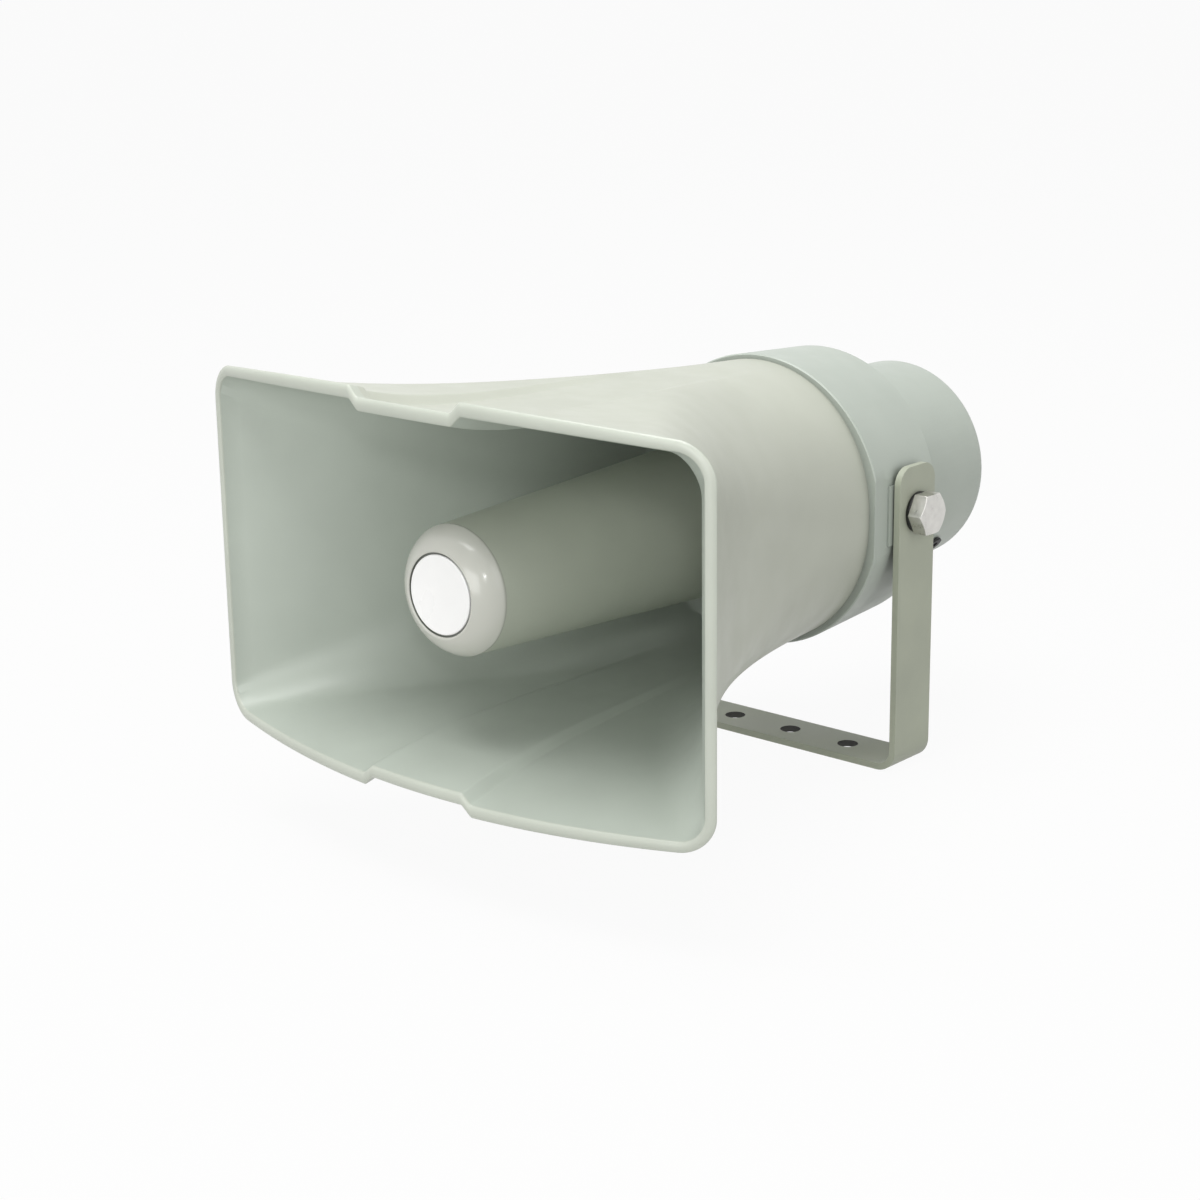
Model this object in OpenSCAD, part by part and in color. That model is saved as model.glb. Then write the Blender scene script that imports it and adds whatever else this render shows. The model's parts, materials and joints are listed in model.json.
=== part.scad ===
// Re-entrant horn loudspeaker with a rectangular bell on a U-shaped tilt bracket.
// Millimetres, +Z up. The bell's mouth faces -Y.
// The origin is under the middle of the bracket's foot, and the tilt axis runs along X above it.

/* [Bell] */
// Width of the mouth over its rim bead
mouth_w = 199; // [170:1:230]
// Height of the mouth over its rim bead, at the corners
mouth_h = 113; // [106:1:130]
// Outer corner radius of the mouth
mouth_corner_r = 10; // [8:0.5:20]
// How far the middle of the mouth's rim stands in front of its corners
mouth_bow = 15.7; // [4:0.1:20]
// How far the top and bottom of the mouth arch outwards
mouth_arch = 3.3; // [0:0.1:4]
// Length of the bell from its round end to the mouth's corners
bell_l = 147; // [130:1:160]
// Outer half width of the bell at its rear end
bell_end_w = 45.1; // [44.6:0.1:45.4]
// Outer half height of the bell at its rear end
bell_end_h = 47.5; // [46:0.1:48]
// Wall thickness of the bell
bell_wall = 2.5; // [2:0.1:2.8]
// Depth of the channel along the top and the bottom of the bell
channel_depth = 2.6; // [2:0.2:5]
// Half width of that channel at the rim
channel_half_w = 22.5; // [18:0.5:26]

/* [Reflector] */
// Radius of the reflector's nose cap at its widest
nose_r = 19.8; // [19.6:0.1:22]
// Radius of the reflector at its open rear edge
reflector_rear_r = 26.5; // [25:0.5:30]
// Radius of the plain disc on the nose
badge_r = 12; // [10:0.1:12.4]

/* [Rear] */
// Radius of the rear housing at its front edge
housing_front_r = 49.2; // [49:0.1:52]
// Radius of the rear housing at its back edge
housing_rear_r = 47.1; // [46.5:0.1:49]
// Outer radius of the rear cover at its open end
cover_r = 35.9; // [35.6:0.1:37]
// How far the rear cover reaches behind the tilt axis
cover_rear_y = 65.5; // [62:0.1:70]

/* [Bracket] */
// Height of the tilt axis over the underside of the bracket
axis_h = 88.2; // [86:0.1:100]
// Width of the bracket's strap
strap_w = 20; // [18:0.5:26]
// Thickness of the bracket's strap
strap_t = 2.3; // [2:0.1:3]
// Distance between neighbouring fixing holes in the foot
foot_pitch = 24.5; // [20:0.5:30]
// Diameter of the fixing holes in the foot
foot_hole_d = 7; // [5:0.5:9]

/* [Driver] */
// Radius of the magnet ring
magnet_r = 26.3; // [25.8:0.1:26.7]
// Mean radius of the voice coil's former
coil_r = 12.5; // [12.4:0.05:12.6]

/* [Hidden] */
$fn = 96;
eps = 0.01;
// How far a cutting body reaches past the face it cuts.
cut = 1;
// Play between pieces that are pushed or cemented together.
fit = 0.05;

// Places along Y, counted from the front edge of the rear housing.
housing_front_y = -19.2;
wall_front_y = housing_front_y + 9;
wall_rear_y = wall_front_y + 3.5;
housing_back_front_y = housing_front_y + 32;
housing_rear_y = housing_back_front_y + 3.5;
mouth_y = housing_front_y - bell_l;
nose_y = mouth_y - 3.5;
reflector_rear_y = housing_front_y - 9;
spigot_rear_y = housing_front_y + 8;

// The bell grows along its length by these powers of the distance from its rear end.
width_power = 2.65;
height_power = 7;
corner_power = 1.33;
bow_power = 4.2;
arch_power = 0.8;
channel_power = 1.5;
// Its height also grows evenly by this much.
bell_rise = 1.05;
// Close to the mouth the middle of the top rim lifts further.
rim_lift = 1.3;
rim_power = 12;

// The bell's rim bead, and the spigot that enters the rear housing.
lip_start = 0.973;
lip_extra = 0.7;
lip_round = 1;
spigot_r = 44;
spigot_wall = 2;
spigot_blend = 4;
channel_slope_w = 4.5;
channel_rear_w = 12;

// Points around one section of the bell: side, corner and top stretches of a quarter, then the channel.
side_n = 4;
corner_n = 9;
top_n = 6;
channel_steps = [1, 0.6, 0.3, 0, -0.3, -0.6, -1];
station_n = 13;

// The bracket's strap and the pivot hardware, stacked outwards along X from the pads on the rear housing.
side_flat_x = 47.3;
flat_x = 47.9;
pad_l = 24;
pad_h = 20;
friction_t = 0.5;
strap_in_x = flat_x + friction_t;
strap_out_x = strap_in_x + strap_t;
strap_top_up = 15.6;
strap_corner_r = 6;
bend_r = 5;
spring_t = 1.4;
spring_r = 6.8;
bolt_r = 3.9;
bolt_hole_r = 4.25;
bolt_head_af = 13;
bolt_head_h = 5.3;
bolt_chamfer = 0.7;
bolt_tip_x = 33;
insert_r = 6;
insert_bore_r = 4;
insert_in_x = 32;
boss_r = 9;
boss_in_x = 30;

// The driver, from its throat to its terminals.
throat_r = 9;
throat_end_r = 10.5;
tube_r = 12;
tube_root_r = 14;
tube_front_y = housing_front_y - 129;
tube_step_y = housing_front_y + 1;
tube_step_l = 3;
flange_r = 19.6;
flange_t = 3;
gasket_t = 1;
front_y = wall_rear_y + flange_t + gasket_t;
front_rear_y = wall_rear_y + 20.5;
front_r = 25.8;
dome_room_r = 15;
dome_room_y = front_rear_y - 7;
dome_rise = 4;
dome_wall = 0.4;
surround_t = 0.5;
surround_r = 18.8;
fold_gap = 0.7;
former_wall = 0.2;
former_rear_y = front_rear_y + 8;
winding_t = 0.5;
winding_front_y = front_rear_y + 2;
winding_rear_y = front_rear_y + 7;
plate_front_y = front_rear_y + surround_t;
plate_t = 5;
plate_bore_r = 13.6;
magnet_bore_r = 16;
magnet_t = 13;
yoke_t = 5;
pole_r = 11.9;
pole_drop = 1;
magnet_y = plate_front_y + plate_t;
yoke_y = magnet_y + magnet_t;
terminal_y = yoke_y + yoke_t;

// Screws: circle radius, shank radius, head radius and head height of each kind.
throat_screw = [17, 1.5, 2.7, 2];
driver_screw = [22.7, 1.6, 2.7, 2.2];
cover_screw = [30.4, 1.5, 2.8, 2.2];
cover_screw_tip_y = housing_rear_y - 7.2;
throat_screw_tip_y = front_y + 4;
screw_play = 0.15;
screw_boss_r = 3.2;

// The rear cover and its cable entry.
cover_wall = 2.7;
cover_taper = 0.5;
cover_round = 4;
cover_back_t = 3;
cover_seat_y = cover_rear_y - cover_screw[3] - 0.4;
gasket_in = 2;
gasket_out = 0.6;
gasket_sunk = 1;
entry_angle = -42;
entry_y = housing_rear_y + 29.8;
entry_r = 2.4;
cable_r = 1.5;

// The lead wires and the terminals they start from.
wire_r = 0.8;
wire_x = 9;
wire_z = 29.5;
terminal_x = 5;
terminal_block_size = [24, 9, 10];

PLASTIC = "#b9beb3";
PAINT = "#a9ad9b";
STEEL = "#c9c6c0";
DARK = "#2a2a28";
BRASS = "#b8923f";
IRON = "#6f7072";

// Points of a round arc from angle a0 to a1 about [cx, cy].
function arc(cx, cy, r, a0, a1, n = 8) =
    [for (i = [0:n]) let (a = a0 + (a1 - a0) * i / n) [cx + r * cos(a), cy + r * sin(a)]];

// A body turned about the horn's axis, from points [radius, y].
module turned(points) {
    translate([0, 0, axis_h]) rotate([-90, 0, 0]) rotate_extrude() polygon(points);
}

// A plain ring about the horn's axis.
module ring(inner_r, outer_r, y0, y1) {
    turned([[inner_r, y0], [outer_r, y0], [outer_r, y1], [inner_r, y1]]);
}

// A rod along +Y that starts at [x, y, z], with z counted from the horn's axis.
module rod_y(x, z, y0, y1, r) {
    translate([x, y0, axis_h + z]) rotate([-90, 0, 0]) cylinder(r = r, h = y1 - y0);
}

// A rod along +X on the tilt axis.
module rod_x(x0, x1, r) {
    translate([x0, 0, axis_h]) rotate([0, 90, 0]) cylinder(r = r, h = x1 - x0);
}

// Its children on both sides of the horn.
module both_sides() {
    children();
    mirror([1, 0, 0]) children();
}

// Its children at four places on a circle about the horn's axis, starting at angle start.
module four_round(circle_r, start) {
    for (i = [0:3]) {
        a = start + 90 * i;
        translate([circle_r * cos(a), 0, axis_h + circle_r * sin(a)]) children();
    }
}

// Four rods along +Y on that circle.
module four_rods(circle_r, start, y0, y1, r) {
    four_round(circle_r, start) translate([0, y0, 0]) rotate([-90, 0, 0]) cylinder(r = r, h = y1 - y0);
}

// Three flat ribs round the horn's axis, from radius r0 to r1.
module three_ribs(r0, r1, y0, y1, t) {
    translate([0, 0, axis_h]) for (a = [90, 210, 330]) rotate([0, -a, 0])
        translate([r0, y0, -t / 2]) cube([r1 - r0, y1 - y0, t]);
}

// A pan-head screw along +Y, with its head in front of y0. kind is one of the screw lists.
module screw(kind, y0, y1) {
    translate([0, y0 - kind[3], 0]) rotate([-90, 0, 0]) {
        cylinder(r = kind[2], h = kind[3]);
        cylinder(r = kind[1], h = y1 - y0 + kind[3]);
    }
}

// The same screw driven in from behind, with its head behind y1.
module screw_from_behind(kind, y0, y1) {
    translate([0, y1 + kind[3], 0]) rotate([90, 0, 0]) {
        cylinder(r = kind[2], h = kind[3]);
        cylinder(r = kind[1], h = y1 - y0 + kind[3]);
    }
}

// The bell

// Half width, half height and corner radius of the bell's outside at t, from 0 at its rear end to 1.
function half_w(t) = bell_end_w + (mouth_w / 2 - lip_extra - bell_end_w) * pow(t, width_power);
function half_h(t) = bell_end_h + bell_rise * t
    + (mouth_h / 2 - lip_extra - bell_end_h - bell_rise) * pow(t, height_power);
function corner_r(t) =
    min(half_w(t), half_h(t), bell_end_w + (mouth_corner_r - bell_end_w) * pow(t, corner_power));
function channel_w(t) = channel_rear_w + (channel_half_w - channel_rear_w) * t;

// A section is [half width, half height, corner radius, channel half width].
// The quarter outline from its side's middle to the channel's edge has three stretches.
function side_l(s) = s[1] - s[2];
function corner_angle(s) = s[0] - s[2] >= s[3] ? 90 : acos((s[3] - (s[0] - s[2])) / s[2]);
function corner_l(s) = s[2] * corner_angle(s) * PI / 180;
function top_l(s) = max(0, s[0] - s[2] - s[3]);
function quarter_l(s) = side_l(s) + corner_l(s) + top_l(s);

// The point at length d along that outline.
function quarter_point(s, d) =
    d <= side_l(s) ? [s[0], d]
    : d <= side_l(s) + corner_l(s)
    ? let (a = (d - side_l(s)) / s[2] * 180 / PI)
        [s[0] - s[2] + s[2] * cos(a), s[1] - s[2] + s[2] * sin(a)]
    : [s[0] - s[2] - (d - side_l(s) - corner_l(s)), s[1]];

// Height of the outline at x, on its top stretch.
function top_z(s, x) =
    abs(x) <= s[0] - s[2] ? s[1] : s[1] - s[2] + sqrt(s[2] * s[2] - pow(abs(x) - s[0] + s[2], 2));

// Shares of the outline's length where its points lie, set by the stretches at the mouth.
mouth_section = [half_w(1), half_h(1), corner_r(1), channel_w(1)];
side_share = side_l(mouth_section) / quarter_l(mouth_section);
corner_share = corner_l(mouth_section) / quarter_l(mouth_section);
top_share = 1 - side_share - corner_share;
shares = concat(
    [for (i = [0:side_n - 1]) side_share * i / side_n],
    [for (i = [0:corner_n - 1]) side_share + corner_share * i / corner_n],
    [for (i = [0:top_n - 1]) side_share + corner_share + top_share * i / top_n]
);

// A quarter's points, and the points across the channel with their drop below the outline.
function quarter(s) = [for (q = shares) quarter_point(s, q * quarter_l(s))];
function channel_drop(u, w) = w * (1 - abs(u)) < channel_slope_w ? w * (1 - abs(u)) / channel_slope_w : 1;
function channel(s, depth) =
    [for (u = channel_steps) [u * s[3], top_z(s, u * s[3]) - depth * channel_drop(u, s[3])]];
function upper_half(s, depth) = let (q = quarter(s), n = len(q)) concat(
    q, channel(s, depth), [for (i = [n - 1:-1:1]) [-q[i][0], q[i][1]]]);

// One closed ring of points at t, with its wall moved inwards by inset and its rim forwards by ahead.
function bell_ring(t, inset, ahead = 0) = let (
    s = [half_w(t) - inset, half_h(t) - inset, max(corner_r(t) - inset, 1), channel_w(t)],
    u = upper_half(s, channel_depth * pow(t, channel_power)),
    loop = concat(u, [for (p = u) [-p[0], -p[1]]])
) [for (p = loop) let (
    across = 1 - pow(p[0] / half_w(t), 2),
    arch = mouth_arch * pow(t, arch_power) + (p[1] > 0 ? rim_lift * pow(t, rim_power) : 0),
    lift = arch * across * pow(abs(p[1]) / half_h(t), 4) * sign(p[1])
) [
    p[0],
    housing_front_y - bell_l * t - mouth_bow * pow(t, bow_power) * across - ahead,
    axis_h + p[1] + lift
]];

// A round ring of the same count of points, for the spigot.
function round_ring(r, y) = let (u = upper_half([r, r, r, channel_rear_w], 0))
    [for (p = concat(u, [for (q = u) [-q[0], -q[1]]])) [p[0], y, axis_h + p[1]]];

// Triangles between neighbouring rings of n points, closed from the last ring to the first.
function skin(rings, n) = [
    for (k = [0:rings - 1], i = [0:n - 1], half = [0:1])
        let (a = k * n, b = ((k + 1) % rings) * n, j = (i + 1) % n)
        half == 0 ? [a + i, a + j, b + i] : [a + j, b + j, b + i]
];

module horn_flare() {
    stations = [for (i = [0:station_n]) lip_start * i / station_n];
    rings = concat(
        [round_ring(spigot_r, spigot_rear_y), round_ring(spigot_r, housing_front_y)],
        [for (t = stations) bell_ring(t, 0)],
        [
            bell_ring(lip_start, -lip_extra),
            bell_ring(1, -lip_extra),
            bell_ring(1, bell_wall / 2 - lip_extra / 2, lip_round),
            bell_ring(1, bell_wall)
        ],
        [for (i = [station_n:-1:1]) bell_ring(stations[i], bell_wall)],
        [
            round_ring(spigot_r - spigot_wall, housing_front_y - spigot_blend),
            round_ring(spigot_r - spigot_wall, spigot_rear_y)
        ]
    );
    color(PLASTIC) polyhedron(
        points = [for (r = rings) each r],
        faces = skin(len(rings), len(rings[0])),
        convexity = 10
    );
}

module flare_seal() {
    color(DARK) ring(spigot_r - spigot_wall, spigot_r, spigot_rear_y + fit, wall_front_y);
}

// The rear housing closes the bell's rear end and carries the pivots, the driver and the rear cover.
module rear_housing() {
    socket_r = spigot_r + 2 * fit;
    chamber_r = 43;
    throat_hole_r = tube_root_r + 0.2;
    back_hole_r = magnet_r + 1;
    edge = 0.4;
    boss_skin = 0.5;
    pad_root = 2;
    wire_hole_r = wire_r + 0.7;
    color(PLASTIC) difference() {
        union() {
            intersection() {
                turned([
                    [socket_r, housing_front_y], [housing_front_r - edge, housing_front_y],
                    [housing_front_r, housing_front_y + edge], [housing_rear_r, housing_rear_y - edge],
                    [housing_rear_r - edge, housing_rear_y], [back_hole_r, housing_rear_y],
                    [back_hole_r, housing_back_front_y], [chamber_r, housing_back_front_y],
                    [chamber_r, wall_rear_y], [throat_hole_r, wall_rear_y],
                    [throat_hole_r, wall_front_y], [socket_r, wall_front_y]
                ]);
                translate([-side_flat_x, housing_front_y - cut, 0]) cube([
                    2 * side_flat_x, housing_rear_y - housing_front_y + 2 * cut, axis_h + 2 * housing_front_r
                ]);
            }
            both_sides() {
                rod_x(boss_in_x, side_flat_x - cut, boss_r);
                translate([side_flat_x - pad_root, -pad_l / 2, axis_h - pad_h / 2])
                    cube([flat_x - side_flat_x + pad_root, pad_l, pad_h]);
            }
            four_rods(cover_screw[0], 0, cover_screw_tip_y - boss_skin, housing_back_front_y + cut,
                screw_boss_r);
        }
        both_sides() rod_x(insert_in_x, flat_x + cut, insert_r);
        four_rods(throat_screw[0], 45, wall_front_y - cut, wall_rear_y + cut, throat_screw[1] + screw_play);
        four_rods(cover_screw[0], 0, cover_screw_tip_y - screw_play, housing_rear_y + cut,
            cover_screw[1] + screw_play);
        both_sides() rod_y(wire_x, wire_z, housing_back_front_y - cut, housing_rear_y + cut, wire_hole_r);
        ring(cover_r - gasket_in, cover_r - gasket_out, housing_rear_y - gasket_sunk, housing_rear_y + cut);
    }
}

// The reflector: its nose is a rounded cap that stands a little proud of the cone behind it.
module reflector() {
    wall = 2.2;
    cap_face_r = 13;
    cap_edge_r = 1.5;
    cap_start_angle = -65;
    cap_turn_angle = -24;
    cap_end_angle = 20;
    cap_inner_angle = -50;
    recess_r = badge_r + 0.6;
    recess_d = 1;
    hub_y0 = reflector_rear_y - 52;
    hub_y1 = hub_y0 + 22;
    hub_r = 14.5;
    rib_t = 2.2;
    rib_back = 2;
    edge_c = nose_r - cap_edge_r;
    face_c = edge_c - (cap_face_r - cap_edge_r) * cos(cap_turn_angle);
    face_y = nose_y - cap_face_r * sin(cap_start_angle);
    edge_y = face_y + (cap_face_r - cap_edge_r) * sin(cap_turn_angle);
    outer = concat(
        [[0, nose_y + recess_d], [recess_r, nose_y + recess_d], [recess_r, nose_y]],
        arc(face_c, face_y, cap_face_r, cap_start_angle, cap_turn_angle),
        arc(edge_c, edge_y, cap_edge_r, cap_turn_angle, cap_end_angle, 4),
        [[reflector_rear_r, reflector_rear_y]]
    );
    inner = concat(
        [[reflector_rear_r - wall, reflector_rear_y]],
        arc(face_c, face_y, cap_face_r - wall, cap_turn_angle, cap_inner_angle),
        [[0, nose_y + wall + wall / 2]]
    );
    cone_r = outer[len(outer) - 2][0];
    cone_y = outer[len(outer) - 2][1];
    rib_r = cone_r + (reflector_rear_r - cone_r) * (hub_y0 - cone_y) / (reflector_rear_y - cone_y) - wall / 4;
    color(PLASTIC) {
        turned(concat(outer, inner));
        difference() {
            union() {
                rod_y(0, 0, hub_y0, hub_y1, hub_r);
                three_ribs(hub_r - cut, rib_r, hub_y0 + rib_back, hub_y1 - rib_back, rib_t);
            }
            rod_y(0, 0, hub_y0 - cut, hub_y1 + cut, tube_r + fit);
        }
    }
}

module badge_disc() {
    edge = 0.3;
    sunk = 0.1;
    thick = 0.9;
    face_y = nose_y + sunk;
    color("white") turned([
        [0, face_y], [badge_r - edge, face_y], [badge_r, face_y + edge],
        [badge_r, face_y + thick], [0, face_y + thick]
    ]);
}

// The driver

module throat_tube() {
    color(PLASTIC) difference() {
        turned([
            [throat_end_r, tube_front_y], [tube_r, tube_front_y], [tube_r, tube_step_y],
            [tube_root_r, tube_step_y + tube_step_l], [tube_root_r, wall_rear_y], [flange_r, wall_rear_y],
            [flange_r, wall_rear_y + flange_t], [throat_r, wall_rear_y + flange_t]
        ]);
        four_rods(throat_screw[0], 45, wall_rear_y - cut, wall_rear_y + flange_t + cut,
            throat_screw[1] + screw_play);
    }
}

module throat_gasket() {
    inner_r = throat_r + 1;
    color(DARK) difference() {
        ring(inner_r, flange_r, front_y - gasket_t, front_y);
        four_rods(throat_screw[0], 45, front_y - gasket_t - cut, front_y + cut, throat_screw[1] + screw_play);
    }
}

module throat_screws() {
    color(STEEL) four_round(throat_screw[0], 45) screw(throat_screw, wall_front_y, throat_screw_tip_y);
}

module driver_front_housing() {
    mouth_flare = 2;
    color(IRON) difference() {
        turned([
            [throat_r, front_y], [front_r, front_y], [front_r, front_rear_y],
            [dome_room_r, front_rear_y], [dome_room_r, dome_room_y + mouth_flare],
            [throat_r + mouth_flare, dome_room_y], [throat_r, dome_room_y - mouth_flare]
        ]);
        four_rods(throat_screw[0], 45, front_y - cut, throat_screw_tip_y + cut, throat_screw[1] + screw_play);
        four_rods(driver_screw[0], 0, front_y - cut, front_rear_y + cut, driver_screw[1] + screw_play);
    }
}

module phase_plug() {
    plug_r = 6;
    tip_back = 0.3;
    rib_l = 2.5;
    rib_t = 1.5;
    rib_y = dome_room_y - 2 * rib_l;
    color(IRON) {
        turned(concat(
            arc(0, front_y + plug_r + tip_back, plug_r, -90, 0),
            [[plug_r, dome_room_y], [0, dome_room_y]]
        ));
        three_ribs(plug_r - cut, throat_r - fit, rib_y, rib_y + rib_l, rib_t);
    }
}

module diaphragm_surround() {
    color("#8a7f6a") ring(coil_r + fold_gap, surround_r, front_rear_y, front_rear_y + surround_t - eps);
}

// The dome bulges towards the throat. Its flat edge is cemented to the end of the voice coil's former.
module diaphragm_dome() {
    edge_r = coil_r + former_wall / 2;
    sphere_r = (edge_r * edge_r + dome_rise * dome_rise) / (2 * dome_rise);
    centre_y = front_rear_y - dome_rise + sphere_r;
    edge_angle = asin(edge_r / sphere_r);
    inner_angle = acos((sphere_r - dome_rise) / (sphere_r - dome_wall));
    color("#8a7f6a") turned(concat(
        arc(0, centre_y, sphere_r, -90, -90 + edge_angle, 12),
        arc(0, centre_y, sphere_r - dome_wall, -90 + inner_angle, -90, 12)
    ));
}

module voice_coil_former() {
    color(BRASS) ring(coil_r - former_wall / 2, coil_r + former_wall / 2, front_rear_y + fit, former_rear_y);
}

module voice_coil_winding() {
    inner_r = coil_r + former_wall / 2;
    color("#a05a2c") ring(inner_r, inner_r + winding_t, winding_front_y, winding_rear_y);
}

module top_plate() {
    color(IRON) difference() {
        ring(plate_bore_r, front_r, plate_front_y, plate_front_y + plate_t);
        four_rods(driver_screw[0], 0, plate_front_y - cut, plate_front_y + plate_t + cut,
            driver_screw[1] + screw_play);
    }
}

module magnet() {
    color("#3a3a3c") ring(magnet_bore_r, magnet_r, magnet_y, yoke_y);
}

module yoke() {
    color(IRON) turned([
        [0, plate_front_y + pole_drop], [pole_r, plate_front_y + pole_drop], [pole_r, yoke_y],
        [front_r, yoke_y], [front_r, terminal_y], [0, terminal_y]
    ]);
}

module driver_screws() {
    tip_y = plate_front_y + plate_t - screw_play;
    color(STEEL) four_round(driver_screw[0], 0) screw(driver_screw, front_y, tip_y);
}

// The rear cover

module rear_cover() {
    inner_r = cover_r - cover_wall;
    back_y = cover_rear_y - cover_back_t;
    color(PLASTIC) difference() {
        union() {
            turned(concat(
                [[inner_r, housing_rear_y], [cover_r, housing_rear_y]],
                arc(cover_r - cover_taper - cover_round, cover_rear_y - cover_round, cover_round, 0, 90),
                [[0, cover_rear_y], [0, back_y], [inner_r - cover_taper, back_y]]
            ));
            four_rods(cover_screw[0], 0, housing_rear_y, back_y + eps, screw_boss_r);
        }
        four_rods(cover_screw[0], 0, housing_rear_y - cut, cover_rear_y, cover_screw[1] + screw_play);
        four_rods(cover_screw[0], 0, cover_seat_y, cover_rear_y + cut, cover_screw[2] + screw_play);
        cable_entry() cylinder(r = entry_r, h = 4 * cover_wall, center = true);
    }
}

// Its children at the middle of the cover's wall where the cable enters, with +Z out of the cover's side.
module cable_entry() {
    entry_share = (entry_y - housing_rear_y) / (cover_rear_y - housing_rear_y);
    translate([0, entry_y, axis_h]) rotate([0, 90 - entry_angle, 0])
        translate([0, 0, cover_r - cover_taper * entry_share - cover_wall / 2]) children();
}

module cover_gasket() {
    color(DARK) ring(cover_r - gasket_in + fit, cover_r - gasket_out - fit,
        housing_rear_y - gasket_sunk + fit, housing_rear_y - eps);
}

module cover_screws() {
    color(STEEL) four_round(cover_screw[0], 0)
        screw_from_behind(cover_screw, cover_screw_tip_y, cover_seat_y);
}

// A collar on each side of the cover's wall holds the grommet. The wall is round, so it needs some room.
module cable_grommet() {
    wall_room = 0.35;
    groove = cover_wall / 2 + wall_room;
    flange_h = 0.8;
    flange_wide = 0.9;
    color(DARK) cable_entry() difference() {
        union() {
            cylinder(r = entry_r - fit, h = 2 * groove, center = true);
            for (s = [-1, 1]) translate([0, 0, s * (groove + flange_h / 2)])
                cylinder(r = entry_r + flange_wide, h = flange_h, center = true);
        }
        cylinder(r = cable_r, h = 4 * groove, center = true);
    }
}

module terminal_block() {
    size = terminal_block_size;
    well_d = 4;
    well_r = 2.5;
    color("#d8d5c8") difference() {
        translate([-size[0] / 2, terminal_y, axis_h - size[2] / 2]) cube(size);
        both_sides() rod_y(terminal_x, 0, terminal_y + size[1] - well_d, terminal_y + size[1] + cut, well_r);
    }
}

module terminal_screws() {
    screw_r = 2.3;
    screw_y = terminal_y + terminal_block_size[1] - 4;
    color(BRASS) both_sides() rod_y(terminal_x, 0, screw_y, screw_y + 3.5, screw_r);
}

// One lead runs from the terminal block, round the magnet, to the driver's front housing.
module lead_wire() {
    $fn = 32;
    start_z = terminal_block_size[2] / 2 + 0.4;
    lead_y = terminal_y + terminal_block_size[1] / 2;
    front_lead_y = front_rear_y - 2.5;
    end_z = sqrt(front_r * front_r - pow(wire_x - wire_r, 2)) + 0.1;
    bend_extra = 0.1;
    route = [[terminal_x + 1, lead_y, start_z], [wire_x, lead_y, wire_z], [wire_x, front_lead_y, wire_z],
        [wire_x, front_lead_y, end_z]];
    translate([0, 0, axis_h]) for (i = [0:len(route) - 2]) {
        d = route[i + 1] - route[i];
        translate(route[i]) rotate([0, acos(d[2] / norm(d)), atan2(d[1], d[0])])
            cylinder(r = wire_r, h = norm(d));
        if (i > 0) translate(route[i]) sphere(r = wire_r + bend_extra);
    }
}

module lead_wires() {
    color("crimson") both_sides() lead_wire();
}

// The bracket and its pivot hardware

// One leg's outline in the YZ plane, with a rounded top.
module leg_outline() {
    top_z = axis_h + strap_top_up;
    hw = strap_w / 2;
    polygon(concat(
        [[-hw, bend_r + strap_t], [hw, bend_r + strap_t]],
        arc(hw - strap_corner_r, top_z - strap_corner_r, strap_corner_r, 0, 90),
        arc(-hw + strap_corner_r, top_z - strap_corner_r, strap_corner_r, 90, 180)
    ));
}

module bracket() {
    hw = strap_w / 2;
    outer_bend_r = bend_r + strap_t;
    color(PAINT) difference() {
        union() {
            translate([-strap_out_x + outer_bend_r, -hw, 0])
                cube([2 * (strap_out_x - outer_bend_r), strap_w, strap_t]);
            both_sides() {
                translate([strap_in_x, 0, 0]) rotate([90, 0, 90]) linear_extrude(strap_t) leg_outline();
                translate([strap_out_x - outer_bend_r, hw, outer_bend_r]) rotate([90, 0, 0])
                    intersection() {
                        difference() {
                            cylinder(r = outer_bend_r, h = strap_w);
                            translate([0, 0, -cut]) cylinder(r = bend_r, h = strap_w + 2 * cut);
                        }
                        translate([0, -outer_bend_r, 0]) cube([outer_bend_r, outer_bend_r, strap_w]);
                    }
            }
        }
        both_sides() rod_x(strap_in_x - cut, strap_out_x + cut, bolt_hole_r);
        for (i = [-1:1]) translate([i * foot_pitch, 0, -cut])
            cylinder(d = foot_hole_d, h = strap_t + 2 * cut);
    }
}

module washer_pair(x0, x1, inner_r, outer_r) {
    both_sides() difference() {
        rod_x(x0, x1, outer_r);
        rod_x(x0 - cut, x1 + cut, inner_r);
    }
}

module friction_washers() {
    color(DARK) washer_pair(flat_x + 2 * fit, strap_in_x, bolt_hole_r, boss_r);
}

module spring_washers() {
    color(IRON) washer_pair(strap_out_x + fit, strap_out_x + spring_t, bolt_r + 2 * fit, spring_r);
}

// A hexagon bolt: its head's outer edge is turned to a chamfer.
module pivot_bolts() {
    head_x = strap_out_x + spring_t;
    corner = bolt_head_af / sqrt(3);
    face_r = bolt_head_af / 2 - 0.3;
    color(STEEL) both_sides() {
        rod_x(bolt_tip_x, head_x + eps, bolt_r);
        translate([head_x, 0, axis_h]) rotate([0, 90, 0]) intersection() {
            rotate([0, 0, 30]) cylinder(r = corner, h = bolt_head_h, $fn = 6);
            union() {
                cylinder(r = corner + cut, h = bolt_head_h - bolt_chamfer);
                translate([0, 0, bolt_head_h - bolt_chamfer])
                    cylinder(r1 = corner + 0.2, r2 = face_r, h = bolt_chamfer);
            }
        }
    }
}

module bolt_inserts() {
    color(BRASS) washer_pair(insert_in_x, flat_x - fit, insert_bore_r, insert_r - fit / 2);
}

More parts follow.
